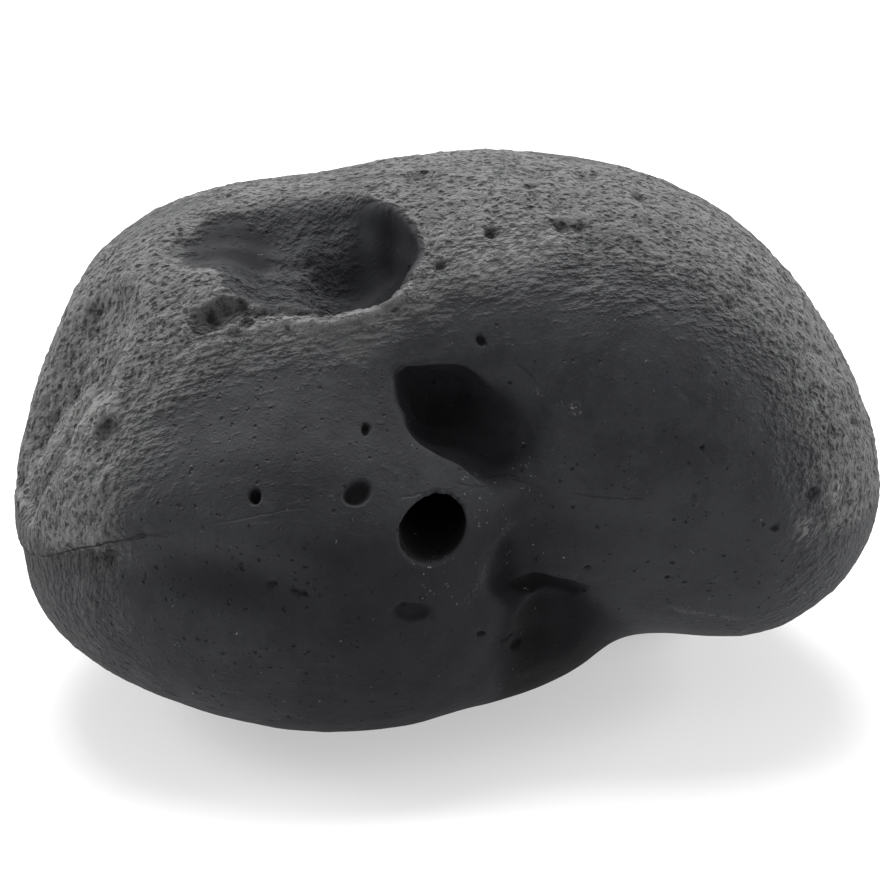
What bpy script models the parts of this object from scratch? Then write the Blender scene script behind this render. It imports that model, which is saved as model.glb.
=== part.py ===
"""River rock: one dark, porous stone with rounded lobes, hollows and a drilled blind hole.

The stone is a set of rounded lobes that run into each other, with hollows worn into it.
Both are described as distances to their surfaces, in millimetres, and the skin that
Blender's Remesh makes over the lobes is drawn onto the surface that they define.
The origin is on the ground, under the middle of the stone. +X is its long side, +Y is
its back and +Z is up.
"""
from math import radians

import bmesh
import bpy
import numpy as np
from mathutils import Euler, Matrix, Vector

# ---------------------------------------------------------------- driving dimensions
MM = 0.001
NAME = "rock"
LOBE_BLEND = 12.0          # how widely two lobes run into each other, mm
BORE_DIAMETER = 12.4       # the drilled hole, mm
BORE_CENTRE = (-1.4, 52.5)  # its X and Z, mm
BORE_BOTTOM = -18.0        # Y of its blind end, mm
TRIANGLES = 9000           # size of the finished solid
SKIN_VOXEL = 1.3           # spacing of the fine skin, mm
LARGEST_STEP = 2.0         # how far a point of the skin moves at once, mm
MIDDLE = (1.8, -2.5)       # the middle of the stone in the lobes' own X and Y, mm

# Lobes: name, centre, half sizes, turn in degrees, squareness (2 is an ellipsoid)
LOBES = [
    ("belly", (-24, -13, 39), (54, 50, 40.2), (0, 5, 0), 2.1),
    ("heel", (14, -8, 31), (27, 32, 27), (0, 0, 0), 2.0),
    ("left end", (-49, -4, 41), (34, 42, 31.5), (0, 0, 0), 2.4),
    ("plateau", (-28, 9, 62.5), (48, 46, 36), (0, -7, 0), 2.5),
    ("crown", (18, 10, 62), (50, 48, 42), (0, 9, 0), 2.2),
    ("shoulder", (33, 4, 57.5), (38.5, 45, 37.5), (0, 35, 0), 2.1),
    ("right dome", (49, 0, 52.5), (43, 42, 33.2), (0, 50, 0), 2.2),
    ("right foot", (40, 30, 33), (35, 27, 34), (0, 0, 0), 2.1),
    ("left foot", (-34, 28, 34), (40, 28, 35), (0, 0, 0), 2.1),
]

# Hollows: name, softness of the rim, blend between its parts, and the parts,
# each a centre, half sizes, turn and squareness
HOLLOWS = [
    ("top scoop", 1.5, 6.0, [
        ((-16.3, -18.5, 92), (11, 11.8, 11.5), (22, 0, 0), 2.3),
        ((-27, -13.5, 101), (24, 17, 12.5), (20, 0, -24), 2.3),
        ((-30, -22, 96), (12, 9.5, 8), (38, -4, 0), 2.2),
    ]),
    ("scoop cheek", 1.5, 0.0, [
        ((-42, -7.5, 98.5), (13, 12, 6.5), (16, -12, -6), 2.2),
    ]),
    ("ledge pit", 1.2, 0.0, [
        ((-43.3, -29, 87.5), (5.5, 3.8, 4.5), (39, -8, 20), 2.0),
    ]),
    ("flank pit", 1.2, 0.0, [
        ((-64.5, -39.5, 67), (3.6, 3.2, 3.4), (0, 0, 0), 2.0),
    ]),
    ("front hollow", 1.5, 5.0, [
        ((0.3, -37, 70.3), (8, 12.5, 6.8), (0, 32, 0), 2.0),
        ((7.5, -41.6, 67), (12.8, 9.3, 7.4), (0, 36, -28), 2.0),
    ]),
    ("recess under the dome", 3.5, 0.0, [
        ((23, -45, 27), (10, 7, 9.5), (0, 0, 30), 2.0),
    ]),
    ("slot under the dome", 1.0, 0.0, [
        ((20.8, -44.8, 36.2), (10, 5, 2.4), (0, 14, 33), 2.0),
    ]),
    ("beside the belly", 1.5, 0.0, [
        ((17.5, -53, 44.5), (9.5, 9, 11), (0, 22, 0), 2.0),
    ]),
    ("shallow cup", 1.0, 0.0, [
        ((-5, -61.5, 38.2), (4, 2.2, 2), (0, 0, 0), 2.3),
    ]),
    ("small socket", 1.0, 0.0, [
        ((-15.1, -57.2, 60.6), (2.8, 2.6, 2.2), (0, 0, 0), 2.2),
    ]),
    ("back hollow", 3.0, 8.0, [
        ((-14, 60, 70), (17, 8, 10), (0, 14, 0), 2.0),
        ((-28, 58, 75), (10, 7, 8), (0, 0, 0), 2.0),
    ]),
    ("back pit", 1.5, 0.0, [
        ((30, 60, 52), (5, 4, 4), (0, 0, 0), 2.0),
    ]),
    ("side pit", 1.5, 0.0, [
        ((85, 16, 60), (4, 5, 4), (0, 0, 0), 2.0),
    ]),
]

# Folds: name, start, end, radius, softness of the edge
FOLDS = [
    ("left flank", (-79, -24, 89), (-96, -30, 59), 22.0, 3.0),
    ("trough under the waist", (-70, -61, 46.5), (-16, -76, 41), 11.0, 5.0),
    ("back waist", (-2, 72, 62), (12, 72, 14), 16.0, 9.0),
]


# ---------------------------------------------------------------- distances, in mm
def turned(turn):
    """The 3 x 3 matrix of a turn about X, then Y, then Z, in degrees."""
    return np.array(Euler([radians(angle) for angle in turn]).to_matrix())


def lobe(points, centre, half, turn, squareness):
    """Distance from the points to a rounded lobe, negative inside it."""
    half = np.array(half, float)
    local = np.abs((points - np.array(centre, float)) @ turned(turn)) / half
    size = np.maximum((local ** squareness).sum(axis=1) ** (1.0 / squareness), 1e-6)
    slope = (local / size[:, None]) ** (squareness - 1.0) / half
    return (size - 1.0) / np.maximum(np.linalg.norm(slope, axis=1), 1e-9)


def groove(points, start, end, radius):
    """Distance from the points to a round bar between two points."""
    start = np.array(start, float)
    along = np.array(end, float) - start
    share = np.clip((points - start) @ along / (along @ along), 0.0, 1.0)
    return np.linalg.norm(points - start - share[:, None] * along, axis=1) - radius


def blended(first, second, width):
    """Union of two distances that run into each other over the width."""
    if width <= 0.0:
        return np.minimum(first, second)
    share = np.clip(0.5 + 0.5 * (second - first) / width, 0.0, 1.0)
    return second + (first - second) * share - width * share * (1.0 - share)


def worn(stone, hollow, softness):
    """The stone's distance with a hollow taken out of it."""
    return -blended(-stone, hollow, softness)


def lobes(points):
    """Distance from the points to the lobes, before anything is worn into them."""
    distance = None
    for _name, centre, half, turn, squareness in LOBES:
        piece = lobe(points, centre, half, turn, squareness)
        distance = piece if distance is None else blended(distance, piece, LOBE_BLEND)
    return distance


def stone(points):
    """Distance from the points to the finished stone, without its drilled hole."""
    distance = lobes(points)
    for _name, softness, blend, parts in HOLLOWS:
        hollow = None
        for centre, half, turn, squareness in parts:
            piece = lobe(points, centre, half, turn, squareness)
            hollow = piece if hollow is None else blended(hollow, piece, blend)
        distance = worn(distance, hollow, softness)
    for _name, start, end, radius, softness in FOLDS:
        distance = worn(distance, groove(points, start, end, radius), softness)
    return distance


# ---------------------------------------------------------------- Blender helpers
def clear_scene():
    for item in list(bpy.data.objects):
        bpy.data.objects.remove(item, do_unlink=True)


def new_collection(name):
    collection = bpy.data.collections.new(name)
    bpy.context.scene.collection.children.link(collection)
    return collection


def new_object(name, mesh, collection):
    item = bpy.data.objects.new(name, mesh)
    collection.objects.link(item)
    return item


def apply_modifiers(item):
    """Keep the object's evaluated shape as its mesh, with no modifier left on it."""
    graph = bpy.context.evaluated_depsgraph_get()
    mesh = bpy.data.meshes.new_from_object(item.evaluated_get(graph))
    old = item.data
    item.modifiers.clear()
    item.data = mesh
    bpy.data.meshes.remove(old)


def remesh(item, voxel):
    modifier = item.modifiers.new("skin", "REMESH")
    modifier.mode = "VOXEL"
    modifier.voxel_size = voxel * MM
    apply_modifiers(item)


def draw_onto(item, distance, rounds):
    """Move each point of the skin down the slope of the distance, to where it is zero."""
    mesh = item.data
    flat = np.empty(len(mesh.vertices) * 3)
    mesh.vertices.foreach_get("co", flat)
    points = flat.reshape(-1, 3) / MM
    nudge = 0.2
    for _ in range(rounds):
        here = distance(points)
        slope = np.stack([distance(points + nudge * axis) - here for axis in np.eye(3)], axis=1)
        slope /= np.maximum(np.linalg.norm(slope, axis=1), 1e-9)[:, None]
        points -= slope * np.clip(here, -LARGEST_STEP, LARGEST_STEP)[:, None]
    mesh.vertices.foreach_set("co", (points * MM).ravel())
    mesh.update()


def balls_mesh(name, balls):
    """One ball for each centre, half sizes and turn, all in one mesh."""
    bm = bmesh.new()
    for centre, half, turn in balls:
        place = Matrix.Translation(Vector(centre) * MM)
        rotation = Euler([radians(angle) for angle in turn]).to_matrix().to_4x4()
        size = Matrix.Diagonal((*(Vector(half) * MM), 1.0))
        bmesh.ops.create_icosphere(bm, subdivisions=4, radius=1.0, matrix=place @ rotation @ size)
    mesh = bpy.data.meshes.new(name)
    bm.to_mesh(mesh)
    bm.free()
    return mesh


def cylinder_mesh(name, radius, depth, sides):
    bm = bmesh.new()
    bmesh.ops.create_cone(bm, cap_ends=True, segments=sides, radius1=radius, radius2=radius, depth=depth)
    mesh = bpy.data.meshes.new(name)
    bm.to_mesh(mesh)
    bm.free()
    return mesh


def box_mesh(name, size):
    bm = bmesh.new()
    bmesh.ops.create_cube(bm, size=1.0, matrix=Matrix.Diagonal((*size, 1.0)))
    mesh = bpy.data.meshes.new(name)
    bm.to_mesh(mesh)
    bm.free()
    return mesh


def cut(item, cutter, label):
    modifier = item.modifiers.new(label, "BOOLEAN")
    modifier.operation = "DIFFERENCE"
    modifier.solver = "EXACT"
    modifier.object = cutter
    cutter.hide_render = True
    cutter.display_type = "WIRE"


def stone_material():
    material = bpy.data.materials.new("dark stone")
    material.use_nodes = True
    shader = material.node_tree.nodes["Principled BSDF"]
    shader.inputs["Base Color"].default_value = (0.055, 0.056, 0.064, 1.0)
    shader.inputs["Roughness"].default_value = 0.8
    shader.inputs["Metallic"].default_value = 0.0
    return material


# ---------------------------------------------------------------- the rock
def build():
    clear_scene()
    parts = new_collection("river rock")
    cutters = new_collection("cutters")

    # The lobes become one skin, which is drawn out to the blend between them.
    rock = new_object(NAME, balls_mesh(NAME, [entry[1:4] for entry in LOBES]), parts)
    remesh(rock, 2.0)
    draw_onto(rock, lobes, 6)

    # The hollows are cut out roughly, and the skin is then drawn onto their soft rims.
    hollows = [part[:3] for entry in HOLLOWS for part in entry[3]]
    wear = new_object("wear", balls_mesh("wear", hollows), cutters)
    remesh(wear, 0.8)
    cut(rock, wear, "hollows")
    apply_modifiers(rock)
    remesh(rock, SKIN_VOXEL)
    draw_onto(rock, stone, 5)
    remesh(rock, SKIN_VOXEL)
    draw_onto(rock, stone, 3)

    fewer = rock.modifiers.new("fewer faces", "DECIMATE")
    fewer.ratio = TRIANGLES / sum(len(face.vertices) - 2 for face in rock.data.polygons)
    apply_modifiers(rock)

    # The stone moves so that its middle stands over the origin.
    to_middle = Vector((-MIDDLE[0], -MIDDLE[1], 0.0)) * MM
    rock.data.transform(Matrix.Translation(to_middle))

    # The drilled hole runs straight in from the front and ends blind.
    depth = 60.0
    drill = new_object("drill", cylinder_mesh("drill", BORE_DIAMETER / 2 * MM, depth * MM, 40), cutters)
    drill.rotation_euler = (radians(90), 0, 0)
    drill.location = Vector((BORE_CENTRE[0], BORE_BOTTOM - depth / 2, BORE_CENTRE[1])) * MM + to_middle
    cut(rock, drill, "drilled hole")

    # The lobes that reach the ground are worn flat there: these are what it rests on.
    ground = new_object("ground", box_mesh("ground", (0.3, 0.3, 0.04)), cutters)
    ground.location = (0, 0, -0.02)
    cut(rock, ground, "rest flats")

    rock.data.materials.clear()
    rock.data.materials.append(stone_material())
    rock.data.shade_smooth()
    return rock


build()
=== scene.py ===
# %% [markdown]
# # A dark river rock with hollows and a drilled hole
#
# The rock comes to this file as one plain closed solid, already at its real size.
# Here it gets the surface that a hand would feel: crisp rims, pits, pores, a rough weathered
# top and a smooth front, a faint line round its waist, and a stone finish that shows them.
#
# Every step below is a short cell. The sizes are in metres where Blender wants them, and in
# millimetres (mm) where the stone is described, because a stone is easier to think of in mm.

from math import cos, radians, sin

import bmesh
import bpy
import numpy as np
from mathutils import Euler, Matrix, Vector, kdtree, noise


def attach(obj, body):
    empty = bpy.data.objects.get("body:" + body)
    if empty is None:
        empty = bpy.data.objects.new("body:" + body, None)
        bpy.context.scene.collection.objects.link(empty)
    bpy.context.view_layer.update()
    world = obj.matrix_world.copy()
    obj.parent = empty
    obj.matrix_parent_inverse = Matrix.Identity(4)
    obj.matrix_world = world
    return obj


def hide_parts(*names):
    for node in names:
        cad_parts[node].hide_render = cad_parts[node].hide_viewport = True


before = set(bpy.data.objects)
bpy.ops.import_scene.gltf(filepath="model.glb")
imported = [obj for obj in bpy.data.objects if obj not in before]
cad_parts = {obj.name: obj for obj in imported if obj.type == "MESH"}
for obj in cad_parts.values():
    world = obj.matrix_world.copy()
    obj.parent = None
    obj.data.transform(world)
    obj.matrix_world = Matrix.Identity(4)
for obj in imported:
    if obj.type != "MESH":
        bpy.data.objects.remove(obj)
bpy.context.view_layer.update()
MM = 0.001

# %% [markdown]
# ## The camera
#
# A stone of this size is looked at from arm's length, a little from above, with a long lens,
# so that its near side isn't swollen by perspective. A camera aimed by an angle and a
# distance is easier to tune than one placed by three coordinates, so it is worked out from
# those: it stands back from the point it looks at, along the line of sight.

# %% Camera
LOOK_AT = Vector((-1.8, 2.5, 50.0)) * MM
RISE = radians(20)
AWAY = 733 * MM

back = Vector((0, -cos(RISE), sin(RISE)))
camera = bpy.data.objects.new("camera", bpy.data.cameras.new("camera"))
bpy.context.scene.collection.objects.link(camera)
camera.location = LOOK_AT + back * AWAY
camera.rotation_euler = (radians(90) - RISE, 0, 0)
camera.data.sensor_width = 36
camera.data.lens = 150
bpy.context.scene.camera = camera
print("camera at", [round(v, 3) for v in camera.location])

# %% [markdown]
# ## The stone as distances
#
# A worn stone is a few rounded lobes that run into each other, with hollows worn into them.
# It could be sculpted point by point, but rounded forms are easier to state as distances:
# a function says how far any point is from the surface, negative inside. Two lobes join
# softly when their distances are blended instead of compared, and a hollow is the same
# blend turned inside out. Any mesh can then be drawn onto the surface where the distance
# is zero, as finely as it is divided.

# %% Distances to round forms
def turned(turn):
    """The matrix of a turn about X, then Y, then Z, in degrees."""
    return np.array(Euler([radians(angle) for angle in turn]).to_matrix())


def lobe(points, centre, half, turn=(0, 0, 0), squareness=2.0):
    """Distance to a rounded lobe. Squareness 2 is an ellipsoid, and more is boxier."""
    half = np.array(half, float)
    local = np.abs((points - np.array(centre, float)) @ turned(turn)) / half
    size = np.maximum((local ** squareness).sum(axis=1) ** (1.0 / squareness), 1e-6)
    slope = (local / size[:, None]) ** (squareness - 1.0) / half
    return (size - 1.0) / np.maximum(np.linalg.norm(slope, axis=1), 1e-9)


def groove(points, start, end, radius):
    """Distance to a round bar between two points."""
    start = np.array(start, float)
    along = np.array(end, float) - start
    share = np.clip((points - start) @ along / (along @ along), 0.0, 1.0)
    return np.linalg.norm(points - start - share[:, None] * along, axis=1) - radius


def blended(first, second, width):
    """Two forms as one, which run into each other over a width."""
    if np.max(width) <= 0.0:
        return np.minimum(first, second)
    share = np.clip(0.5 + 0.5 * (second - first) / width, 0.0, 1.0)
    return second + (first - second) * share - width * share * (1.0 - share)


def worn(stone, hollow, softness):
    """The stone with a hollow taken out of it."""
    return -blended(-stone, hollow, softness)


def smooth(value, low, high):
    """0 below low, 1 above high, and an easy curve between them."""
    share = np.clip((value - low) / (high - low), 0.0, 1.0)
    return share * share * (3.0 - 2.0 * share)


beside_a_ball = lobe(np.array([[12.0, 0, 0]]), (0, 0, 0), (10, 10, 10))
print("12 mm from the middle of a ball of 10 mm radius, its distance is", beside_a_ball)

# %% [markdown]
# ## Its lobes and hollows
#
# These are the same lobes that the plain solid was made from, so the fine surface and the
# solid agree. The hollows are the same too, with the crisper rims and the smaller pits that
# the plain solid is too coarse to hold.

# %% Lobes
MIDDLE = np.array((1.8, -2.5, 0.0))     # the solid's origin, in the lobes' own frame
LOBE_BLEND = 12.0
LOBES = {
    "belly": ((-24, -13, 39), (54, 50, 40.2), (0, 5, 0), 2.1),
    "heel": ((14, -8, 31), (27, 32, 27), (0, 0, 0), 2.0),
    "left end": ((-49, -4, 41), (34, 42, 31.5), (0, 0, 0), 2.4),
    "plateau": ((-28, 9, 62.5), (48, 46, 36), (0, -7, 0), 2.5),
    "crown": ((18, 10, 62), (50, 48, 42), (0, 9, 0), 2.2),
    "shoulder": ((33, 4, 57.5), (38.5, 45, 37.5), (0, 35, 0), 2.1),
    "right dome": ((49, 0, 52.5), (43, 42, 33.2), (0, 50, 0), 2.2),
    "right foot": ((40, 30, 33), (35, 27, 34), (0, 0, 0), 2.1),
    "left foot": ((-34, 28, 34), (40, 28, 35), (0, 0, 0), 2.1),
}


def lobes(points):
    distance = None
    for entry in LOBES.values():
        piece = lobe(points, *entry)
        distance = piece if distance is None else blended(distance, piece, LOBE_BLEND)
    return distance


in_the_crown = lobes(np.array([[18.0, 20, 62]]))
print(len(LOBES), "lobes; distance inside the crown, mm:", in_the_crown.round(1))

# %% Hollows and folds
# Each hollow: softness of its rim, blend between its parts, and the parts.
HOLLOWS = {
    "top scoop": (0.9, 6.0, [
        ((-16.3, -18.5, 92), (11, 11.8, 11.5), (22, 0, 0), 2.3),
        ((-27.5, -13.8, 101), (22.5, 15.5, 12.5), (20, 0, -24), 2.0),
        ((-30, -22, 96), (12, 9.5, 8), (38, -4, 0), 2.2)]),
    "scoop cheek": (3.0, 0.0, [((-42, -7.5, 98.5), (13, 12, 6.5), (16, -12, -6), 2.2)]),
    "ledge pit": (0.6, 0.0, [((-42.0, -29.6, 87.0), (6.3, 4.2, 4.6), (39, -14, 20), 2.0)]),
    "small ledge pit": (0.5, 0.0, [((-36.8, -31.2, 85.2), (2.2, 1.5, 1.7), (39, 0, 0), 2.0)]),
    "crown dimple": (0.8, 0.0, [((-4.7, 6.5, 103.7), (3.2, 3.4, 2.0), (0, 0, 0), 2.0)]),
    "flank pit": (0.7, 0.0, [((-64.5, -39.5, 67), (3.6, 3.2, 3.4), (0, 0, 0), 2.0)]),
    "front hollow": (1.0, 5.0, [
        ((0.3, -37, 70.3), (8, 12.5, 6.8), (0, 32, 0), 2.0),
        ((7.5, -41.6, 67.0), (12.8, 9.3, 7.4), (0, 36, -28), 2.0),
        ((-5.6, -36.5, 75.6), (3.6, 5, 2.2), (0, 12, 0), 2.0)]),
    "soft side of the front hollow": (5.0, 0.0, [((13, -44.5, 73), (11, 7, 7), (0, 40, 0), 2.0)]),
    "recess under the dome": (3.5, 0.0, [((23, -45, 27), (10, 7, 9.5), (0, 0, 30), 2.0)]),
    "slot under the dome": (0.5, 0.0, [((20.8, -44.8, 36.2), (10, 5, 2.4), (0, 14, 33), 2.0)]),
    "beside the belly": (1.0, 0.0, [((17.5, -53, 44.5), (9.5, 9, 11), (0, 22, 0), 2.0)]),
    "back hollow": (3.0, 8.0, [
        ((-14, 60, 70), (17, 8, 10), (0, 14, 0), 2.0),
        ((-28, 58, 75), (10, 7, 8), (0, 0, 0), 2.0)]),
    "back pit": (1.2, 0.0, [((30, 60, 52), (5, 4, 4), (0, 0, 0), 2.0)]),
    "side pit": (1.2, 0.0, [((85, 16, 60), (4, 5, 4), (0, 0, 0), 2.0)]),
}
# Each fold: its start and end, radius and softness.
FOLDS = {
    "left flank": ((-79, -24, 89), (-96, -30, 59), 22.0, 2.0),
    "trough under the waist": ((-70, -61, 46.5), (-16, -76, 41), 11.0, 5.0),
    "back waist": ((-2, 72, 62), (12, 72, 14), 16.0, 9.0),
}
BORE_RADIUS, BORE_X, BORE_Z, BORE_END = 6.2, -1.4, 52.5, -18.0


def shaken(points):
    """The same places, shifted by slow waves, so that no hollow is a perfect oval."""
    wide = np.sin(points[:, [1, 2, 0]] * 0.42 + (0.5, 1.9, 3.1))
    narrow = np.sin(points[:, [2, 0, 1]] * 0.95 + (2.2, 0.3, 4.4))
    return points + 0.55 * wide + 0.28 * narrow


def across_bore(points):
    """Distance to the drilled hole's wall. Its mouth has worn a little flatter than round."""
    return np.hypot(points[:, 0] - BORE_X, (points[:, 2] - BORE_Z + 0.35) * 1.06) - BORE_RADIUS


def hollow_distance(name, uneven):
    """Distance to a whole hollow, its parts run together."""
    _softness, blend, parts = HOLLOWS[name]
    distance = lobe(uneven, *parts[0])
    for part in parts[1:]:
        distance = blended(distance, lobe(uneven, *part), blend)
    return distance


def stone(points):
    distance = lobes(points)
    uneven = shaken(points)
    for name, (softness, _blend, _parts) in HOLLOWS.items():
        if name == "top scoop":
            soft_back = smooth(points[:, 1], -10, -2) * smooth(-points[:, 0], 10, 20)
            softness = softness + 7.0 * soft_back
        if name == "front hollow":
            softness = softness + 4.0 * smooth(points[:, 0], 5, 14)
        distance = worn(distance, hollow_distance(name, uneven), softness)
    for start, end, radius, softness in FOLDS.values():
        distance = worn(distance, groove(points, start, end, radius), softness)
    distance = worn(distance, np.maximum(across_bore(points), points[:, 1] - BORE_END), 0.7)
    return np.maximum(distance, -points[:, 2])


print(len(HOLLOWS), "hollows and", len(FOLDS), "folds")

# %% [markdown]
# ## A fine skin
#
# The plain solid has triangles about 3 mm wide, too coarse for pits and crisp rims. Subdividing
# them would keep their uneven shapes. Blender's voxel Remesh lays an even grid of small
# quads over it instead, and each point then slides down the slope of the distance until it
# lies on the stone.

# %% Make the skin
SKIN_VOXEL = 1.15


def slope_of(distance, points, nudge=0.12):
    here = distance(points)
    slope = np.stack([distance(points + nudge * axis) - here for axis in np.eye(3)], axis=1)
    return here, slope / np.maximum(np.linalg.norm(slope, axis=1), 1e-9)[:, None]


def draw_onto(points, distance, rounds):
    for _ in range(rounds):
        here, slope = slope_of(distance, points)
        points = points - slope * np.clip(here, -1.2, 1.2)[:, None]
    return points


def points_of(mesh):
    """The mesh's points in mm, in the lobes' own frame."""
    flat = np.empty(len(mesh.vertices) * 3)
    mesh.vertices.foreach_get("co", flat)
    return flat.reshape(-1, 3) / MM + MIDDLE


def move_points(mesh, points):
    mesh.vertices.foreach_set("co", ((points - MIDDLE) * MM).ravel())
    mesh.update()


source = bpy.data.objects["rock"]
rock = bpy.data.objects.new("stone_skin", source.data.copy())
bpy.context.scene.collection.objects.link(rock)
cover = rock.modifiers.new("even skin", "REMESH")
cover.mode = "VOXEL"
cover.voxel_size = SKIN_VOXEL * MM
covered = rock.evaluated_get(bpy.context.evaluated_depsgraph_get())
rock.data = bpy.data.meshes.new_from_object(covered)
rock.modifiers.clear()
mesh = rock.data
move_points(mesh, draw_onto(points_of(mesh), stone, 3))
print("first skin:", len(mesh.vertices), "points")


# %% [markdown]
# ## Small holes and raised rims
#
# The front is marked by little holes, as gas bubbles leave them. Each is listed here by where
# it is, how wide, how deep and how much painted shade darkens it. Two rims stand proud as well,
# the near lip of the scoop and the crest of the left flank. They could be sculpted by hand, but
# a line in a list can be moved by a millimetre without touching anything else.

# %% Places of the small marks
def to_hollows(points, names):
    """Distance to the nearest edge of the named hollows."""
    uneven = shaken(points)
    return np.min([np.abs(hollow_distance(name, uneven)) for name in names], axis=0)


# Each small hole on the front: X, Z, half width, half height, depth, tilt and the strength of its
# painted shade.
SMALL_HOLES = {
    "eye": (-33.8, 59.8, 1.2, 1.4, 1.9, 0, 1.0),
    "socket": (-15.1, 59.9, 2.7, 2.0, 1.7, -8, 0.75),
    "cup": (-5.0, 38.2, 4.2, 2.1, 1.0, -4, 0.30),
    "by the hollow": (7.3, 82.2, 1.0, 0.9, 0.8, 0, 0.9),
    "above the socket": (-14.0, 68.7, 0.9, 0.9, 1.0, 0, 1.0),
    "on the dome": (49.4, 64.1, 0.7, 0.5, 0.5, 0, 0.8),
    "low on the dome": (43.5, 36.8, 0.6, 0.5, 0.5, 0, 0.8),
    "under the line": (63.9, 46.0, 0.8, 0.5, 0.5, 0, 0.7),
    "near the recess": (28.4, 39.6, 0.7, 0.5, 0.5, 0, 0.8),
    "on the line": (48.0, 54.2, 1.1, 0.3, 0.4, 0, 0.8),
    "by the end": (70.9, 52.4, 1.6, 1.3, 0.7, 0, 0.4),
    "under the cup": (7.7, 30.7, 0.9, 0.7, 0.6, 0, 0.6),
    "beside the recess": (12.6, 27.9, 1.6, 0.6, 0.5, -10, 0.7),
    "in the trough": (-31.0, 43.6, 1.2, 0.6, 0.6, 6, 0.6),
    "further in the trough": (-26.2, 42.0, 2.0, 0.5, 0.6, -14, 0.5),
    "left in the trough": (-36.8, 46.8, 0.8, 0.5, 0.4, 0, 0.5),
    "lower beside it": (14.6, 24.6, 1.2, 1.0, 0.6, 10, 0.8),
}
CRISP_RIMS = ["top scoop", "ledge pit", "flank pit", "front hollow", "slot under the dome",
              "small ledge pit", "crown dimple"]


HOLE_DEPTH, HOLE_SHADE = 4, 6      # where each stands in its row
FAR = 99.0                        # mm, more than any reach below


def across_hole(points, x, z, half_x, half_z, _depth, tilt, _shade):
    """0 in the middle of a small hole, 1 on its edge."""
    turn, away = radians(tilt), np.where(points[:, 1] < -20, 0.0, FAR)
    right = (points[:, 0] - x) * cos(turn) + (points[:, 2] - z) * sin(turn)
    up = (points[:, 2] - z) * cos(turn) - (points[:, 0] - x) * sin(turn)
    return np.hypot(right / half_x, up / half_z) + away


# Each pit: its place, its radius and its depth.
PITS = [
    ((-25, -9, 90), 2.0, 1.0), ((-22.5, -14, 89), 2.2, 1.2), ((-14.5, -12, 90), 2.2, 1.2),
    ((-34, -14, 89), 2.4, 1.2), ((-17, -20, 83), 2.4, 1.3), ((-29, -19, 87), 2.0, 1.1),
    ((-13, 2.5, 101.6), 1.8, 1.2), ((9.6, -17, 98.5), 1.8, 1.1), ((0, -23.5, 94), 1.6, 1.0),
    ((23.4, -15.2, 99.3), 2.2, 1.5), ((26.6, -15.3, 99.2), 2.0, 1.0), ((38.5, 0, 101), 2.0, 1.2),
    ((-52.1, -55.9, 47), 1.5, 1.0), ((-50.9, -56.3, 46.6), 1.3, 0.9),
    ((-52.6, -56.3, 41.5), 1.2, 0.9), ((-34, -61.7, 46), 1.8, 0.5),
    ((-29.7, -62.6, 43), 1.6, 0.7), ((-57.5, -53.3, 45.3), 1.5, 0.8),
    ((-62.7, -50.1, 44.9), 1.5, 0.7), ((-55.7, -53.2, 50.6), 1.6, 0.7)]
# Two raised rims, each as a line along its top: the lip as X and Y, the crest as X and Z.
SCOOP_LIP = [(-39, -29.5), (-34.8, -30.4), (-22.7, -30.8), (-9.5, -28.7), (-5.5, -26.5)]
FLANK_CREST = [(-62, 71), (-69.5, 65), (-71.7, 62), (-78, 52), (-81.5, 46)]


def beside_line(places, line, inner):
    """Distance to a line on a plane, negative on the side of the inner place."""
    near, side = np.full(len(places), FAR), np.ones(len(places))
    for start, end in zip(np.array(line[:-1], float), np.array(line[1:], float)):
        along = end - start
        share = np.clip((places - start) @ along / (along @ along), 0.0, 1.0)
        nearest = start + share[:, None] * along
        away = np.linalg.norm(places - nearest, axis=1)
        toward = ((places - nearest) * (np.array(inner, float) - nearest)).sum(axis=1)
        closer = away < near
        near[closer], side[closer] = away[closer], np.where(toward > 0, -1.0, 1.0)[closer]
    return near * side


def beside_lip(points):
    return np.where(points[:, 2] > 78, beside_line(points[:, [0, 1]], SCOOP_LIP, (-22, -14)), FAR)


def beside_crest(points):
    return np.where(points[:, 1] < -8, beside_line(points[:, [0, 2]], FLANK_CREST, (-95, 75)), FAR)


print(len(SMALL_HOLES), "small holes and", len(PITS), "pits listed")

# %% [markdown]
# ## Finer where it matters
#
# Dividing the whole skin would cost four times the triangles for no gain on the plain parts.
# So only the edges near a rim, a pit or a small hole are cut in two, and those near the
# smallest holes once more. After each cut the new points are drawn onto the stone again.

# %% Divide the skin near the marks
def divide(mesh, chosen):
    """Cut each edge in two where both its ends are chosen."""
    bm = bmesh.new()
    bm.from_mesh(mesh)
    bm.verts.ensure_lookup_table()
    for index in np.flatnonzero(chosen):
        bm.verts[index].select = True
    edges = [edge for edge in bm.edges if edge.verts[0].select and edge.verts[1].select]
    bmesh.ops.subdivide_edges(bm, edges=edges, cuts=1, use_grid_fill=True)
    bm.to_mesh(mesh)
    bm.free()


PIT_REACH = 3.0
for reach_small, reach_rim in ((2.2, 2.4), (1.5, 0.0)):
    points = points_of(mesh)
    bore_edge = np.abs(across_bore(points))
    bore_edge[points[:, 1] > -45] = FAR
    holes = np.min([across_hole(points, *hole) for hole in SMALL_HOLES.values()], axis=0)
    chosen = (holes < reach_small) | (bore_edge < reach_small)
    if reach_rim:
        to_pits = [np.linalg.norm(points - np.array(place), axis=1) for place, _r, _d in PITS]
        chosen |= np.min(to_pits, axis=0) < PIT_REACH
        chosen |= to_hollows(points, CRISP_RIMS) < reach_rim
        chosen |= np.abs(beside_lip(points)) < reach_rim
        chosen |= np.abs(beside_crest(points)) < reach_rim
    divide(mesh, chosen)
    move_points(mesh, draw_onto(points_of(mesh), stone, 3))
    print("divided to", len(mesh.vertices), "points")

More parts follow.
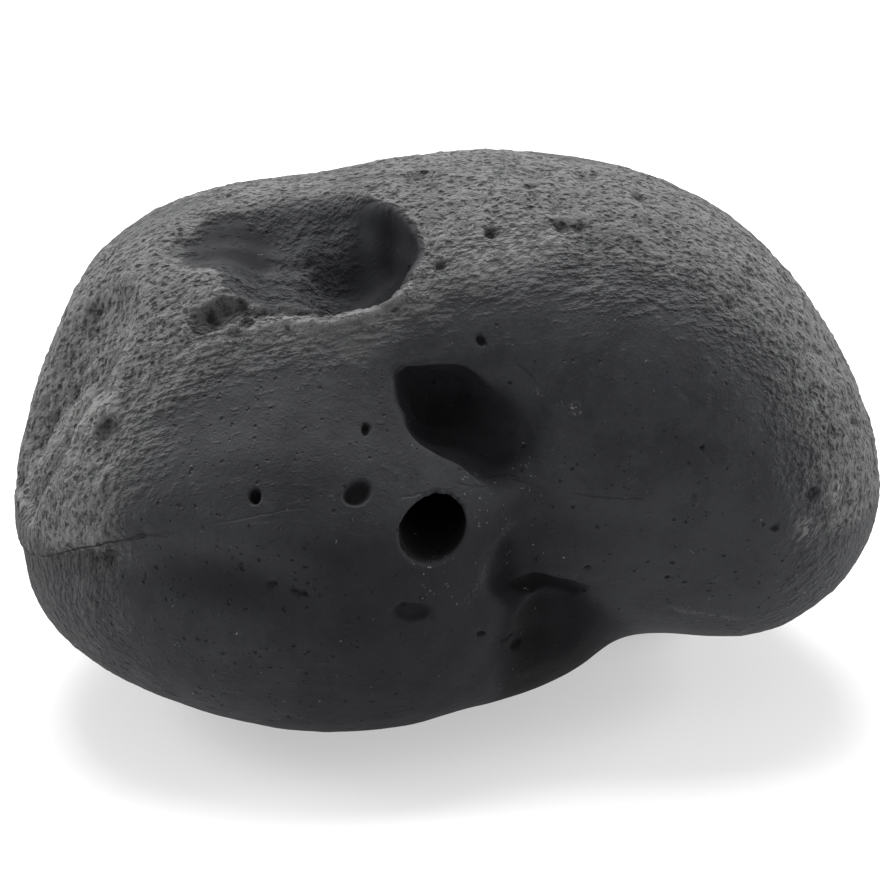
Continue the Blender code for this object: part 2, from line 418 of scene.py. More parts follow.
points = points_of(mesh)
count = len(points)
normals = slope_of(stone, points)[1]
facing = slope_of(lobes, points)[1]
x, y, z = points.T
triangles = sum(len(face.vertices) - 2 for face in mesh.polygons)
print("skin of", count, "points and", triangles, "triangles")

# %% [markdown]
# ## Where it is rough and where it is smooth
#
# This stone is worn unevenly: its front and underside are smooth, and its top, left flank and
# right end are weathered, porous and scuffed pale. Two large forms are laid over the smooth
# front, and how far a point lies outside them gives its rough share, with noise to break the
# edge. A painted mask would have to be redrawn whenever the shape changes. Low down the stone
# is smoother, and behind it the two kinds drift in wide patches.

# %% Rough and pale shares
def wander(points, size, octaves=3, seed=0.0, stretch=(1, 1, 1)):
    """Smooth noise from about -1 to 1 whose lumps are about the given size, in mm."""
    scaled = points / np.array(stretch, float) / size + seed
    return np.array([noise.fractal(p, 0.8, 2.1, octaves) for p in scaled])


SMOOTH_FACE = {
    "right part": ((21, -60, 46), (53, 90, 52.5), (0, 0, 0), 2.3),
    "left part": ((-17, -60, 42), (46.5, 90, 43), (0, 0, 0), 2.9),
}
patchy = wander(points, 9.0, 4, 3.7)
outside_face = blended(*[lobe(points, *form) for form in SMOOTH_FACE.values()], 10.0)
streaky = wander(points, 3.0, 3, 41.0, (4, 1, 1))
# Smooth up to 12 mm inside the edge of that face, and fully rough 7 mm outside it.
rough = smooth(outside_face + 2.5 * patchy + 2.5 * streaky, -12.0, 7.0)
# The stone turns pale more slowly on the right, over up to 34 mm.
pale_end = 4.5 + 15.5 * smooth(x, -10, 40)
pale = smooth(outside_face + 2.0 * patchy + 2.0 * streaky, -14.0, pale_end)
# Each pale patch: its place and its spread.
PALE_PATCHES = [((-36, -29, 86.5), 6), ((-26, -32.5, 84), 6), ((-16, -34, 82), 5),
                ((-46, -33, 82), 7)]


def patches(spots):
    return np.max([np.exp(-(np.linalg.norm(points - np.array(place), axis=1) / spread) ** 2)
                   for place, spread in spots], axis=0)


pale = np.maximum(pale, patches(PALE_PATCHES))
# Below this height the stone is worn smoother, sharply in front and in drifts behind.
WORN_BELOW = 46.0
behind = smooth(y, -15, 20)
drift = wander(points, 30.0, 3, 61.0)
below = WORN_BELOW - z + (14.0 * drift + 4.0 * patchy) * behind
under_waist = smooth(below, -14.0 * behind, 6.0 + 22.0 * behind)
rough *= 1.0 - (0.6 - 0.2 * behind) * under_waist
pale *= 1.0 - (0.65 - 0.35 * behind) * under_waist
worn_behind = behind * smooth(drift + 0.25 * patchy, 0.05, 0.45)
rough *= 1.0 - 0.45 * worn_behind
pale *= 1.0 - 0.30 * worn_behind

print("rough share before the hollows: %.2f" % rough.mean())

# %% [markdown]
# ## The hollows keep their own surface
#
# Each hollow has its own mask, made from the same distances that cut it, so a mask can't slip
# off its hollow. The scoop's floor is half rough, its cheek is smooth and dark, its right wall is
# smooth and given painted shade, and a few scraped places on the crown and the right end have
# been rubbed flat again.

# %% Hollows and scrapes
uneven = shaken(points)
SCRAPES = [((7, -22.5, 95), 4.5), ((15, -20.5, 96.5), 6), ((21, -18, 98), 4),
           ((76, -31, 50.5), 3.5), ((70, -36, 45), 3.0)]
scraped = patches(SCRAPES)
rough *= 1.0 - 0.85 * scraped
inside = {name: -hollow_distance(name, uneven) for name in HOLLOWS}
cheek_place = np.hypot((x + 41) / 12.0, (y + 6.0) / 11)
cheek_place += np.where(z > 78, 0, FAR)
cheek = smooth(1.0 - cheek_place + 0.20 * patchy, -0.05, 0.50)
scoop = smooth(inside["top scoop"], -1.6, -0.6)
# The scoop has no rim at its soft back, so its mask reaches further out there.
soft_back = smooth(y, -10, -2) * smooth(-x, 8, 18)
basin = smooth(inside["top scoop"] + 0.3 * patchy + 4.5 * soft_back, -1.2, 0.4 + 4.0 * soft_back)
right_wall = smooth(x + 1.0 * patchy, -20, -14) * scoop
# Painted shade on the scoop's right wall, strongest to the right.
wall_shade = (0.15 + 0.85 * smooth(x + 0.8 * patchy, -16, -4)) * basin
kept_smooth = np.maximum.reduce([cheek, right_wall, smooth(inside["front hollow"], -0.8, 0.4),
                                 0.6 * smooth(inside["ledge pit"], -0.4, 0.4)])
rough *= (1.0 - 0.9 * kept_smooth) * (1.0 - 0.56 * basin)
print("rough share of the whole surface: %.2f" % rough.mean())

# %% [markdown]
# ## Lumps, streaks and pits
#
# Up close the rough parts are uneven at several sizes at once: gentle swells, coarse grain,
# streaks drawn out along the shoulder and down the flank, and many small pits. Bump alone
# would leave the outline smooth, so everything wider than about 1.5 mm is real shape.

# %% Swells, grain and streaks
swell = wander(points, 22.0, 2, 11.0) * 0.30
grain = wander(points, 3.0, 4, 5.0)
crinkle = np.abs(wander(points, 2.4, 2, 15.0))
flank = smooth(-facing[:, 0], 0.40, 0.70)
shoulder = smooth(-facing[:, 1], 0.2, 0.55) * (1 - 0.9 * scraped)
flank_streaks = wander(points, 1.5, 2, 21.0, (1, 1, 5)) * flank
shoulder_streaks = wander(points, 1.6, 2, 31.0, (4.5, 1, 1)) * shoulder
lumps = wander(points, 6.5, 2, 17.0)
height = swell * (0.35 + 0.65 * rough) + 0.24 * rough * lumps
height += rough * (0.24 * grain + 0.38 * (crinkle - 0.3))
height += rough * (0.20 * flank_streaks + 0.14 * shoulder_streaks)
height += (1 - rough) * (wander(points, 12.0, 2, 7.0) * 0.16 + lumps * 0.06)
print("height, mm: from %.2f to %.2f" % (height.min(), height.max()))

# %% [markdown]
# ## Raised rims
#
# The near lip of the scoop stands up about half a millimetre, with a fine crease inside it.
# So does the crest where the left flank turns to the front. Both are bell curves across a
# line, which is the simplest ridge that has no hard edge.

# %% Raised rims
lip = beside_lip(points) + 0.5 * patchy
crest = beside_crest(points) + 0.4 * patchy
ridges = 0.6 * np.exp(-((lip - 0.7) / 1.0) ** 2) + 0.8 * np.exp(-((crest - 0.7) / 1.1) ** 2)
lip_crease = np.exp(-((lip + 0.9) / 0.8) ** 2)
creases = 0.6 * lip_crease + 0.25 * np.exp(-((crest + 1.6) / 1.4) ** 2)
height += ridges - creases
print("points on the ridges:", int((ridges > 0.3).sum()))
print("points in the creases:", int((creases > 0.2).sum()))

# %% [markdown]
# ## Pits
#
# Round pits lie all over the rough parts, with a few on the smooth front. They could be cut
# one by one, but here each is pressed into the height of the points near it, which a k-d tree
# finds quickly. The random places come from a fixed seed, so the stone is the same each time.

# %% Scattered pits
def dig(height, spots, radii, depths):
    """Press a round pit into the height at each spot."""
    for spot, radius, depth in zip(spots, radii, depths):
        for _co, index, away in tree.find_range(spot, radius):
            height[index] -= depth * (1.0 - (away / radius) ** 2) ** 1.5


tree = kdtree.KDTree(count)
for index, point in enumerate(points):
    tree.insert(point, index)
tree.balance()

chance = np.random.RandomState(7)
pick = chance.permutation(count)
ROUGH_PITS, SMOOTH_PITS = 700, 40
rough_spots = pick[rough[pick] > 0.55][:ROUGH_PITS]
smooth_spots = pick[rough[pick] < 0.25][:SMOOTH_PITS]
radii, depths = chance.uniform(1.5, 3.2, ROUGH_PITS), chance.uniform(0.2, 0.5, ROUGH_PITS)
dig(height, points[rough_spots], radii, depths)
radii, depths = chance.uniform(0.9, 1.3, SMOOTH_PITS), chance.uniform(0.25, 0.5, SMOOTH_PITS)
dig(height, points[smooth_spots], radii, depths)
print("dug", len(rough_spots), "pits in rough parts and", len(smooth_spots), "in smooth ones")

# %% Pits that stand out
dig(height, *zip(*PITS))
half_uneven = points + 0.5 * (uneven - points)
across_holes = [across_hole(half_uneven, *hole) for hole in SMALL_HOLES.values()]
for hole, across in zip(SMALL_HOLES.values(), across_holes):
    height -= hole[HOLE_DEPTH] * (1 - smooth(across, 0.62, 1.08))
print(len(PITS), "pits and", len(SMALL_HOLES), "small holes placed by hand")

# %% [markdown]
# ## The line round the waist
#
# A faint line runs across the front at about half height. Below it on the left the stone
# steps in by less than a millimetre, which throws a thin shadow. The step is real shape. The
# hair-thin line is too narrow for the skin, so each point only stores its height above the
# line, and the finish draws the line where that value passes zero.

# %% Waist line and step
LINE_X = [-82, -75, -69, -62, -55, -44, -28, 0, 15, 28, 48, 66, 80]
LINE_Z = [36.6, 40.5, 44.6, 47.5, 50, 54, 57.6, 58.8, 57, 54.8, 54, 52.2, 47.2]
above_line = z - np.interp(x, LINE_X, LINE_Z)
on_front = smooth(-y, 5, 20)
step = smooth(-x, 52, 66) * on_front
height -= 0.7 * step * smooth(-above_line, -0.3, 0.3) * smooth(above_line, -14, -2)
print("points on the step:", int((step > 0.5).sum()))

# %% [markdown]
# ## Thin cracks
#
# Hair-thin cracks run out from the waist line, by the front hollow and across to the drilled
# hole. Like the line, they are narrower than the skin's grid, so each point stores its
# distance from the nearest crack and the finish draws it.

# %% Thin cracks
# Each crack: its two ends as X and Z on the front.
CRACKS = [((-59.2, 48.5), (-55.7, 50.3)), ((-55.7, 50.3), (-50.7, 51.0)),
          ((14.5, 78.7), (17.7, 76)), ((2.8, 59.3), (8.1, 57.5)), ((8.1, 57.5), (15, 57.6))]
CRACK_REACH = 9.0
beside = np.full(count, CRACK_REACH)
for (x1, z1), (x2, z2) in CRACKS:
    length = np.hypot(x2 - x1, z2 - z1)
    along = ((x - x1) * (x2 - x1) + (z - z1) * (z2 - z1)) / length
    across = ((z - z1) * (x2 - x1) - (x - x1) * (z2 - z1)) / length
    past_end = np.maximum(np.maximum(-along, along - length), 0.0)
    near = (np.abs(across) + 3.0 * past_end < np.abs(beside)) & (y < 0)
    beside[near] = (across + np.sign(across) * 3.0 * past_end)[near]
print("points within 1 mm of a crack:", int((np.abs(beside) < 1).sum()))

# %% [markdown]
# ## Scuffs, painted glints and painted shade
#
# Painted glints, bright crumbs of mineral drawn where they catch the light, lie in clusters by
# the front hollow. A few edges are scuffed pale, and a painted highlight runs along the belly's
# edge. Deep places get painted shade, darker than their shape alone makes them under a soft
# studio light, and so do a few patches of the front. Each is a soft spot with a place and a
# spread, which is easier to move than a painted one.

# %% Scuffs, painted glints and painted shade
# Each patch of painted glints: its place and its spread.
GLINT_PATCHES = [
    ((13.2, -42.4, 62), 3.2), ((16.9, -42.7, 60.5), 3.0), ((8, -43.4, 62), 3.0),
    ((19, -43, 58), 3.0), ((23.0, -40.5, 71.3), 1.6), ((8, -47, 56), 5.0), ((0, -58, 46), 5.0)]
# Two pale lines, each as a line of X and Z on the front: a painted highlight along the belly's
# edge, and a pale streak under the dome.
BELLY_EDGE = [(13.5, 50.5), (12.2, 48.2), (8.4, 43.2), (4.7, 37.7)]
UNDER_DOME_STREAK = [(45.5, 27.9), (50, 26.9), (54.3, 25.8), (58.3, 24.6)]
# Patches of painted shade on the front, each with its place and its spread.
SHADED = [((-26, -47.5, 69), 7), ((-18.5, -47.5, 69), 7), ((-11, -46.5, 68), 6),
          ((-24, -54, 62), 9)]
SCUFF_PATCHES = [
    ((17.8, -39.1, 73.2), 2.0), ((25.5, -40.8, 70.9), 1.6), ((22.4, -40.4, 72.0), 1.1),
    ((-7.3, -57.8, 51.5), 1.2), ((-6.4, -58.4, 49.6), 1.2), ((-4.8, -59, 47.3), 1.0),
    ((12, -44, 60), 2.8), ((20.7, -42.2, 64), 1.4), ((12.2, -49.5, 47), 1.2)]
print(len(GLINT_PATCHES), "patches of grains,", len(SCUFF_PATCHES), "of scuffs")

# %% [markdown]
# ## Shape and shares into the mesh
#
# Up to here the height is only a list of numbers. Each point now moves along its own normal
# by its height. The shares go into the mesh as attributes, so the finish can read them at
# every point, and they travel with the stone wherever it is used.

# %% Move the points
moved = (points + normals * height[:, None] - MIDDLE) * MM
moved[:, 2] = np.maximum(moved[:, 2], 0.0)
mesh.vertices.foreach_set("co", moved.ravel())
mesh.update()
mesh.shade_smooth()
print("box of the skin, mm:", (moved.min(axis=0) / MM).round(1), (moved.max(axis=0) / MM).round(1))


# %% Store the surface shares
def store(name, values):
    mesh.attributes.new(name, "FLOAT", "POINT").data.foreach_set("value", values.astype(np.float32))


store("rough_share", rough)
store("pale_share", pale * (1 - 0.8 * kept_smooth))
store("above_line", above_line)
store("line_share", on_front * (0.30 + 0.70 * smooth(-x, 42, 58)))
store("beside_crack", beside)
store("glint_share", patches(GLINT_PATCHES))
store("scuff_share", patches(SCUFF_PATCHES))
store("scrape_share", scraped)
belly_edge = np.where(y < -30, beside_line(points[:, [0, 2]], BELLY_EDGE, (20, 40)), FAR)
streak = np.where(y < -25, beside_line(points[:, [0, 2]], UNDER_DOME_STREAK, (50, 20)), FAR)
store("highlight_and_streak_share", np.maximum(np.exp(-(belly_edge / 0.7) ** 2), np.exp(-(streak / 0.5) ** 2)))
store("raised", grain * 0.6 + (crinkle - 0.3))
store("dug", np.clip(-height, 0, 2))
store("scoop_share", basin * (1 - cheek))
store("cheek_share", cheek)
store("ridge_highlight_share", ridges)
store("flank_share", flank)
store("back_share", smooth(facing[:, 1], 0.35, 0.80))
store("streak_share", np.maximum(flank, shoulder))
store("pore_share", 0.14 + 0.50 * smooth(-x, -5, 50) + 0.40 * smooth(x, 45, 70))
low_middle = smooth(x, -45, -12) * smooth(-x, -45, -12)
store("low_share", smooth(-above_line, -1, 9) * (0.12 + 0.48 * low_middle))
# Paler towards the lower right; in the trough under the waist, painted light that lifts the shade
# there.
light = smooth(x, 10, 30) * smooth(58 - z, 0, 10)
store("paler_and_painted_light_share", light + 1.7 * patches([((-44, -60, 46), 12), ((-31, -62.5, 43.5), 8)]))
print("attributes so far:", len(mesh.attributes))

# %% Store how deep, and the painted shade
# How far a place lies below the uncut lobes tells how deep in a hollow it is, and so how much
# painted shade it gets.
under, on_face = -lobes(points), smooth(-y, 15, 30)
below_skin = smooth(under, 0.8, 4.2) * on_face * smooth(80 - z, 0, 2)
below_skin *= 1.0 - 0.65 * smooth(inside["beside the belly"], -1.0, 1.0) * smooth(z, 36, 40)
below_skin *= 1.0 - 0.80 * smooth(x, 8, 18) * smooth(z, 50, 58)
# Painted shade in the small holes, as strong as each hole's last value.
small_hole_shade = np.max([hole[HOLE_SHADE] * (1 - smooth(across, 0.75, 1.08))
                      for hole, across in zip(SMALL_HOLES.values(), across_holes)], axis=0)
# Painted shade in the smaller hollows and the slot, each with its strength.
SHADED_HOLLOWS = {"ledge pit": 0.6, "flank pit": 0.6, "small ledge pit": 0.5, "crown dimple": 0.3,
                "slot under the dome": 1.0}
hollow_shade = [smooth(inside[name], -0.3, 0.3) * share for name, share in SHADED_HOLLOWS.items()]
# The painted shade under the dome ends at a line that falls away to the right.
dome_edge = 37.5 - 1.1 * np.maximum(x - 26, 0)
under_dome_shade = smooth(x + 0.8 * patchy, 9.5, 14) * smooth(-x, -44, -26)
under_dome_shade *= smooth(-y, 12, 24) * smooth(dome_edge - z, -1, 6)
# Painted shade in the recess and under the dome's overhang.
recess = np.maximum(0.90 * under_dome_shade, 0.60 * smooth(inside["recess under the dome"], -3.0, 1.5))
# Painted shade inside the drilled hole.
bore_shade = smooth(under, 0.7, 3.0) * smooth(-across_bore(points), -1.0, -0.5) * on_face
# All the painted shade in one share: deep hollows, small holes, the smaller hollows and slot, the
# recess, the drilled hole, the scoop's right wall, the lip's crease and shaded patches of the
# front.
store("painted_shade_share", np.maximum.reduce([
    below_skin * 0.85, small_hole_shade, *hollow_shade, recess, bore_shade, wall_shade * 0.92,
    lip_crease * 0.25, 0.36 * patches(SHADED)]))
print("attributes in all:", len(mesh.attributes))

# %% [markdown]
# ## Writing a finish as maths
#
# A finish is a graph of nodes. Placing them one by one is long to read, so a small class
# wraps a node's output and lets it be added, multiplied and compared like a number. Each
# expression adds the Math nodes that it needs.

# %% Shader values that act like numbers
class Value:
    """An output of a node that can be used in an expression."""

    def __init__(self, finish, socket):
        self.finish = finish
        self.socket = socket

    def math(self, operation, *others):
        values = dict(enumerate((self, *others)))
        return self.finish.node("ShaderNodeMath", {"operation": operation}, values)

    def __add__(self, other):
        return self.math("ADD", other)

    def __sub__(self, other):
        return self.math("SUBTRACT", other)

    def __rsub__(self, other):
        return self.finish.node("ShaderNodeMath", {"operation": "SUBTRACT"}, {0: other, 1: self})

    def __mul__(self, other):
        return self.math("MULTIPLY", other)

    __radd__ = __add__
    __rmul__ = __mul__

    def between(self, low, high):
        """0 at low and 1 at high, with an easy curve."""
        settings = {"interpolation_type": "SMOOTHSTEP"}
        values = {"Value": self, "From Min": low, "From Max": high}
        return self.finish.node("ShaderNodeMapRange", settings, values)


class Finish:
    """A material whose nodes are added by expressions."""

    def __init__(self, name):
        self.material = bpy.data.materials.new(name)
        self.material.use_nodes = True
        self.tree = self.material.node_tree
        self.shader = self.tree.nodes["Principled BSDF"]

    def node(self, kind, settings=None, values=None, output=0):
        item = self.tree.nodes.new(kind)
        for key, setting in (settings or {}).items():
            setattr(item, key, setting)
        for key, value in (values or {}).items():
            self.plug(item.inputs[key], value)
        return Value(self, item.outputs[output])

    def plug(self, socket, value):
        if isinstance(value, Value):
            self.tree.links.new(value.socket, socket)
        else:
            socket.default_value = value

    def colour_mix(self, share, first, second):
        """A Mix node set to colours: its sockets 0, 6 and 7 are the share and the two colours."""
        values = {0: share, 6: first, 7: second}
        return self.node("ShaderNodeMix", {"data_type": "RGBA"}, values, output=2)

    def stored(self, name):
        return self.node("ShaderNodeAttribute", {"attribute_name": name}, output="Fac")

    def places(self, stretch, tilt=0):
        """Object coordinates in mm, turned about Y by a tilt and drawn out along each axis."""
        place = self.node("ShaderNodeTexCoord", output="Object")
        values = {"Vector": place, "Axis": (0, 1, 0), "Angle": radians(tilt)}
        turned_place = self.node("ShaderNodeVectorRotate", {"rotation_type": "AXIS_ANGLE"}, values)
        values = {0: turned_place, 1: stretch}
        return self.node("ShaderNodeVectorMath", {"operation": "MULTIPLY"}, values)

    def noise(self, places, scale, detail=3.0, roughness=0.55, output="Fac"):
        values = {"Vector": places, "Scale": scale, "Detail": detail, "Roughness": roughness}
        return self.node("ShaderNodeTexNoise", {}, values, output=output)

    def warped(self, places, scale, shift):
        """The places pushed about by noise, so that a pattern laid on them isn't regular."""
        push = self.noise(places, scale, 2.0, 0.5, "Color")
        values = {0: push, 1: (shift, shift, shift), 2: places}
        return self.node("ShaderNodeVectorMath", {"operation": "MULTIPLY_ADD"}, values)

    def cells(self, places, scale, output="Distance"):
        values = {"Vector": places, "Scale": scale}
        return self.node("ShaderNodeTexVoronoi", {"feature": "F1"}, values, output=output)


print("operators ready")

# %% [markdown]
# ## The stone's finish
#
# The stone is charcoal, a little blue where it is smooth, and paler where it is rough. Noise
# tears the edge between the two, so that it isn't a drawn line. Pores are pinholes painted
# dark, a painted shade for holes too small for the skin: a cell pattern gives one round hole for
# each cell, and a random value for each cell leaves most of them out on the smooth side. Single
# holes would be too many to place by hand.

# %% Noise and the rough mask
stone_finish = Finish("charcoal_stone")
mm = stone_finish.places((1000, 1000, 1000))
rough_share = stone_finish.stored("rough_share")
ragged = stone_finish.noise(mm, 0.5, 4.0)

crumbs = stone_finish.noise(mm, 0.50, 2.2, 0.5)
fine = stone_finish.noise(mm, 1.9, 2.0, 0.5)
mottle = stone_finish.noise(mm, 0.12, 4.0, 0.6)
flank_share = stone_finish.stored("flank_share")
across_streaks = stone_finish.noise(stone_finish.places((260, 1000, 1000), 15), 0.8, 2.5)
down_streaks = stone_finish.noise(stone_finish.places((1000, 1000, 300)), 0.8, 2.5)
streaks = across_streaks + (down_streaks - across_streaks) * flank_share
streak_share = stone_finish.stored("streak_share")
torn = (ragged - 0.5) * 0.6 + (streaks - 0.5) * streak_share * 0.6
rough_mask = (rough_share + torn).between(0.06, 0.96)
print("nodes so far:", len(stone_finish.tree.nodes))

# %% Pores and dents
loose = stone_finish.warped(mm, 0.7, 1.3)


def lots(places, scale, part):
    """A random value from 0 to 1 for each cell."""
    colour_of_cell = stone_finish.cells(places, scale, "Color")
    return stone_finish.node("ShaderNodeSeparateColor", {}, {"Color": colour_of_cell}, part)


def pores(places, scale, radius, share):
    """Dark holes: one in each cell, and only in a share of the cells."""
    hole = 1 - stone_finish.cells(places, scale).between(radius * 0.4, radius)
    return hole * lots(places, scale, "Red").math("LESS_THAN", share)


wide_pores = pores(loose, 0.50, 0.36, 0.36)
fine_pores = pores(loose, 1.05, 0.42, 0.28)
pore_share = stone_finish.stored("pore_share")
front_pores = pores(loose, 0.42, 0.22, pore_share)
front_pores = front_pores + pores(loose, 0.9, 0.24, pore_share * 0.5 + 0.04)
pore_mask = (wide_pores + fine_pores * 0.7).math("MINIMUM", 1.0) * rough_mask
pore_mask = pore_mask + front_pores * (1 - rough_mask)
dents = stone_finish.cells(loose, 0.60).between(0.05, 0.55)
small_dents = stone_finish.cells(loose, 1.5).between(0.0, 0.5)
# Painted shade in the dug pits, the deeper the darker.
pit_shade = stone_finish.stored("dug").between(0.30, 1.1)
print("nodes with the pores:", len(stone_finish.tree.nodes))

# %% [markdown]
# ## Small bright and dark marks
#
# Specks are painted glints: single grains that catch the light, drawn in a bright colour, so
# they are small, rare and gathered in clusters. A scrape is a patch of fine slanting scratches.
# The waist line and the cracks are drawn where their stored distance is near zero, and a little
# noise makes them wobble and break off, as a real crack does.

# %% Painted glints and scuffs
scattered = stone_finish.warped(mm, 0.7, 3.0)
glint_cells = stone_finish.cells(scattered, 1.3)
glint_share = stone_finish.stored("glint_share")
chosen_few = lots(scattered, 1.3, "Green").math("GREATER_THAN", 0.988 - glint_share * 0.16)
painted_glints = (1 - glint_cells.between(0.10, 0.26)) * chosen_few
coarse_cells = stone_finish.cells(scattered, 0.9)
chosen_few = lots(scattered, 0.9, "Blue").math("GREATER_THAN", 1.0 - glint_share * 0.35)
coarse = (1 - coarse_cells.between(0.08, 0.30)) * chosen_few
painted_glints = (painted_glints + coarse * 0.6).math("MINIMUM", 1.0) * (1 - rough_mask)
crumbly = (crumbs * 0.4 + fine * 0.6).between(0.50, 0.60)
scuffs = stone_finish.stored("scuff_share").between(0.3, 0.9) * crumbly
scratches = stone_finish.noise(stone_finish.places((150, 1000, 1000), 34), 1.3, 2.0)
scrape_share = stone_finish.stored("scrape_share")
scraping = scrape_share * scratches.between(0.44, 0.62)
highlight_and_streak = stone_finish.stored("highlight_and_streak_share") * fine.between(0.40, 0.60)
print("nodes with the specks:", len(stone_finish.tree.nodes))

# %% Waist line and cracks
wobble = (stone_finish.noise(mm, 0.5, 3.0) - 0.5) * 0.9
line_height = (stone_finish.stored("above_line") + wobble).math("ABSOLUTE")
line_share = stone_finish.stored("line_share")
line_breaks = stone_finish.noise(mm, 0.07, 2.0).between(0.44, 0.56)
line_breaks = line_breaks.math("MAXIMUM", line_share.between(0.4, 0.9))
waist_line = (1 - line_height.between(0.05, 0.32)) * line_breaks * line_share
crack_width = (stone_finish.stored("beside_crack") + wobble * 0.7).math("ABSOLUTE")
cracks = (1 - crack_width.between(0.05, 0.28)) * (line_share * 0.7 + 0.2)
thin_lines = (waist_line + cracks).math("MINIMUM", 1.0)
print("nodes with the lines:", len(stone_finish.tree.nodes))

# %% [markdown]
# ## Colour
#
# The dry stone is nearly black where it is smooth, and a paler grey where its grain is broken
# open. The colour starts from those two, and each mark is then laid over it: scuffed high
# points, the worn scoop, a painted highlight on the raised rims, painted shade in pits and
# pores, scrapes, a painted highlight on the belly's edge, lines, the painted shade in deep
# places, and last the painted glints.

# %% Colours
SMOOTH_STONE = (0.0150, 0.0156, 0.0196, 1)
WORN_SMOOTH = (0.0310, 0.0320, 0.0370, 1)
WEATHERED = (0.080, 0.081, 0.083, 1)
WEATHERED_DARK = (0.050, 0.051, 0.053, 1)
# A pale colour for scuffs, and for the painted highlights on the raised rims and the belly's edge.
PALE_SCUFF_AND_HIGHLIGHT = (0.26, 0.26, 0.255, 1)
CHEEK = (0.013, 0.0135, 0.016, 1)
# The dark of the pores and pits, which is painted shade, and also of the thin lines and the low
# front.
PORE = (0.008, 0.008, 0.010, 1)
# The colour of the painted shade in deep places.
PAINTED_SHADE_COLOUR = (0.004, 0.004, 0.005, 1)
# The colour of the painted glints.
PAINTED_GLINT_COLOUR = (0.20, 0.21, 0.22, 1)
print("darkest", PAINTED_SHADE_COLOUR[:3], "and palest", PALE_SCUFF_AND_HIGHLIGHT[:3])

# %% Colour of the skin
pale_mask = (stone_finish.stored("pale_share") + torn * 0.4).between(0.0, 1.0)
scoop_share, cheek_share = stone_finish.stored("scoop_share"), stone_finish.stored("cheek_share")
low_share = stone_finish.stored("low_share")
pale_mask = pale_mask * (1 - scoop_share * 0.5)
raised = stone_finish.stored("raised")
high_points = crumbs * 0.32 + (streaks - 0.5) * streak_share * 0.3 + fine * 0.2 + raised * 0.14
high_points = high_points + small_dents * 0.16 + dents * 0.14
high_points = high_points.between(0.38, 0.58) * rough_mask * (pale_mask * 0.5 + 0.5)
haze = mottle.between(0.38, 0.62) * 0.55 + fine.between(0.40, 0.66) * 0.25
# The haze takes in the paler lower right and the painted light in the trough.
haze = haze + crumbs.between(0.40, 0.66) * 0.20 + stone_finish.stored("paler_and_painted_light_share") * 0.5
smooth_colour = stone_finish.colour_mix(haze, SMOOTH_STONE, WORN_SMOOTH)
weathered_colour = stone_finish.colour_mix(mottle.between(0.38, 0.60), WEATHERED_DARK, WEATHERED)
colour = stone_finish.colour_mix(pale_mask, smooth_colour, weathered_colour)
colour = stone_finish.colour_mix(high_points * 0.42, colour, PALE_SCUFF_AND_HIGHLIGHT)
colour = stone_finish.colour_mix(stone_finish.stored("back_share") * 0.40, colour, SMOOTH_STONE)
colour = stone_finish.colour_mix(scoop_share * 0.85, colour, WORN_SMOOTH)
colour = stone_finish.colour_mix(cheek_share * 0.95, colour, CHEEK)
# The raised rims are painted pale along their tops, a painted highlight.
colour = stone_finish.colour_mix(stone_finish.stored("ridge_highlight_share") * 0.65, colour, PALE_SCUFF_AND_HIGHLIGHT)
# Painted shade in the dug pits.
colour = stone_finish.colour_mix(pit_shade * (0.70 - scoop_share * 0.45), colour, PORE)
# The pores are painted dark, painted shade in the pinholes.
colour = stone_finish.colour_mix(pore_mask * (0.90 - rough_mask * 0.15), colour, PORE)
# The pale marks: scuffs, scrapes, the painted highlight on the belly's edge and the pale streak
# under the dome.
bright = (scuffs * 0.85 + scraping * 0.62 + highlight_and_streak * 0.22).math("MINIMUM", 1.0)
colour = stone_finish.colour_mix(bright, colour, PALE_SCUFF_AND_HIGHLIGHT)
colour = stone_finish.colour_mix(thin_lines * 0.8, colour, PORE)
colour = stone_finish.colour_mix(low_share * (1 - rough_mask), colour, PORE)
# Painted shade in deep places, from the stored share.
painted_shade_share = stone_finish.stored("painted_shade_share")
colour = stone_finish.colour_mix(painted_shade_share * 0.93, colour, PAINTED_SHADE_COLOUR)
# Last the painted glints, grains drawn bright where they catch the light.
colour = stone_finish.colour_mix(painted_glints, colour, PAINTED_GLINT_COLOUR)
stone_finish.plug(stone_finish.shader.inputs["Base Color"], colour)
print("nodes with the colour:", len(stone_finish.tree.nodes))

# %% [markdown]
# ## Sheen and fine relief
#
# Unpolished stone has almost no shine, and the rough parts have none at all. The finest
# crumbs, dents and pores, under a millimetre, are Bump: real triangles that small would
# make the model far too heavy. Their heights are in millimetres, to match the real shape.

# %% Roughness
roughness = rough_mask * 0.26 + (cheek_share + scoop_share) * 0.2 + (crumbs - 0.5) * 0.15
roughness = roughness - painted_glints * 0.3 + 0.66 + (painted_shade_share + low_share) * 0.3
stone_finish.plug(stone_finish.shader.inputs["Roughness"], roughness)
stone_finish.shader.inputs["Specular IOR Level"].default_value = 0.22
stone_finish.shader.inputs["Diffuse Roughness"].default_value = 1.0
print("nodes with the sheen:", len(stone_finish.tree.nodes))

# %% Fine relief
rough_relief = crumbs * 1.10 + streaks * (streak_share * 0.6 + 0.1) + fine * 0.22
rough_relief = rough_relief + dents * 0.75 + small_dents * 0.16
smooth_relief = fine * 0.10 + crumbs * 0.14
relief = rough_mask * rough_relief + (1 - rough_mask) * smooth_relief
relief = relief - pore_mask * 0.8 - thin_lines * 0.5 + scuffs * 0.2
relief = relief + scratches * scrape_share * 0.8
heights = {"Height": relief, "Distance": MM, "Strength": 1.0}
bump = stone_finish.node("ShaderNodeBump", {}, heights, "Normal")
stone_finish.plug(stone_finish.shader.inputs["Normal"], bump)

mesh.materials.clear()
mesh.materials.append(stone_finish.material)
print("finish of", len(stone_finish.tree.nodes), "nodes")

# %% [markdown]
# ## In place of the plain solid
#
# The skin takes the solid's place in the frame and moves with it. Its one slot is named for
# what it is made of, so that another stone finish can be put on it later.

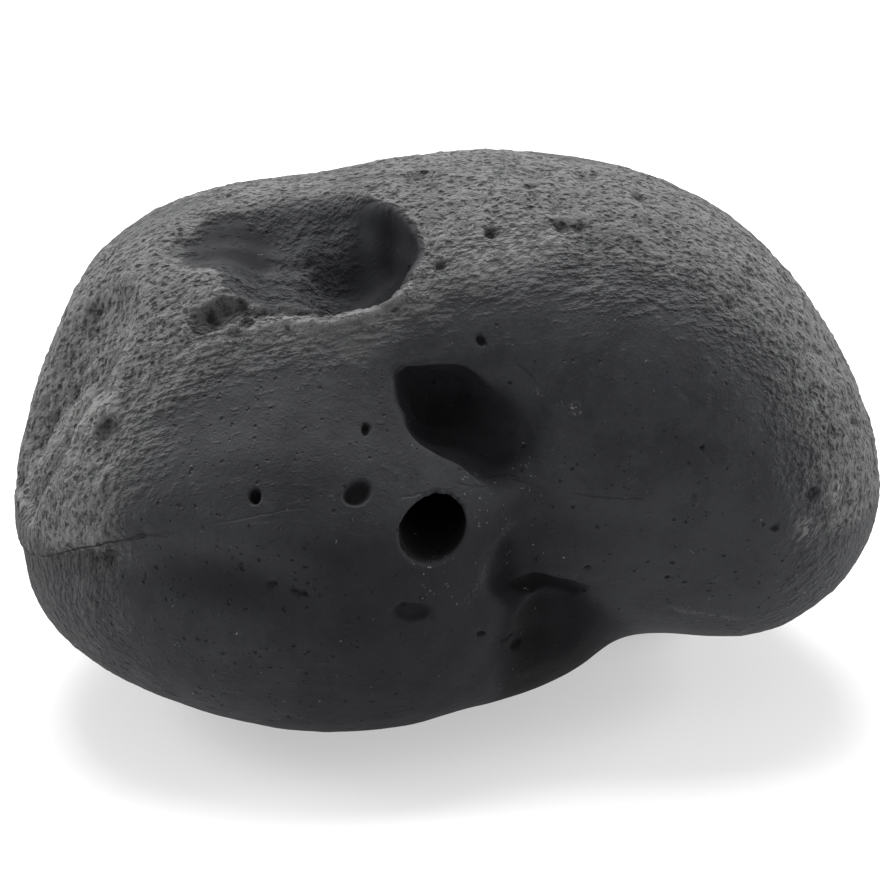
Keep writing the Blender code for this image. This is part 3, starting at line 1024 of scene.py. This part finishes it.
# %% Put the skin in the solid's place
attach(rock, "root")
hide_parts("rock")
print(rock.name, "stands for the plain solid", source.name)

# %% [markdown]
# ## Floor and light
#
# The stone lies on a plain pale surface under one broad soft light from above and a little
# behind, which leaves the front dark and the top bright. Two weaker panels, left and right,
# pick out the flanks, and an even white world fills the shade. The floor gives a little light
# of its own, which keeps it near white and the shadow on it faint.

# %% Floor
floor_mesh = bpy.data.meshes.new("floor")
bm = bmesh.new()
bmesh.ops.create_grid(bm, x_segments=1, y_segments=1, size=6.0)
bm.to_mesh(floor_mesh)
bm.free()
floor = bpy.data.objects.new("floor", floor_mesh)
bpy.context.scene.collection.objects.link(floor)
FLOOR_GREY, FLOOR_GLOW = 0.42, 0.49
floor_finish = Finish("pale_floor")
floor_finish.shader.inputs["Base Color"].default_value = (FLOOR_GREY, FLOOR_GREY, FLOOR_GREY, 1)
floor_finish.shader.inputs["Emission Color"].default_value = (1, 1, 1, 1)
floor_finish.shader.inputs["Emission Strength"].default_value = FLOOR_GLOW
floor_finish.shader.inputs["Roughness"].default_value = 0.95
floor_mesh.materials.append(floor_finish.material)
print("floor of", len(floor_mesh.polygons), "face, grey", FLOOR_GREY)

# %% Lights
STONE_MIDDLE = Vector((0, 0, 0.05))


def panel(name, place, size, power):
    """A soft square light aimed at the stone."""
    light = bpy.data.lights.new(name, "AREA")
    light.shape = "SQUARE"
    light.size = size
    light.energy = power
    item = bpy.data.objects.new(name, light)
    item.location = place
    item.rotation_euler = (STONE_MIDDLE - Vector(place)).to_track_quat("-Z", "Y").to_euler()
    bpy.context.scene.collection.objects.link(item)


panel("overhead", (-0.10, 0.50, 1.15), 0.9, 33)
panel("left side", (-1.10, 0.30, 0.55), 0.5, 10.5)
panel("right side", (1.10, 0.25, 0.50), 0.5, 11)

world = bpy.data.worlds.new("studio")
world.use_nodes = True
background = world.node_tree.nodes["Background"]
background.inputs["Color"].default_value = (1, 1, 1, 1)
background.inputs["Strength"].default_value = 0.58
bpy.context.scene.world = world
bpy.context.scene.view_settings.view_transform = "Standard"
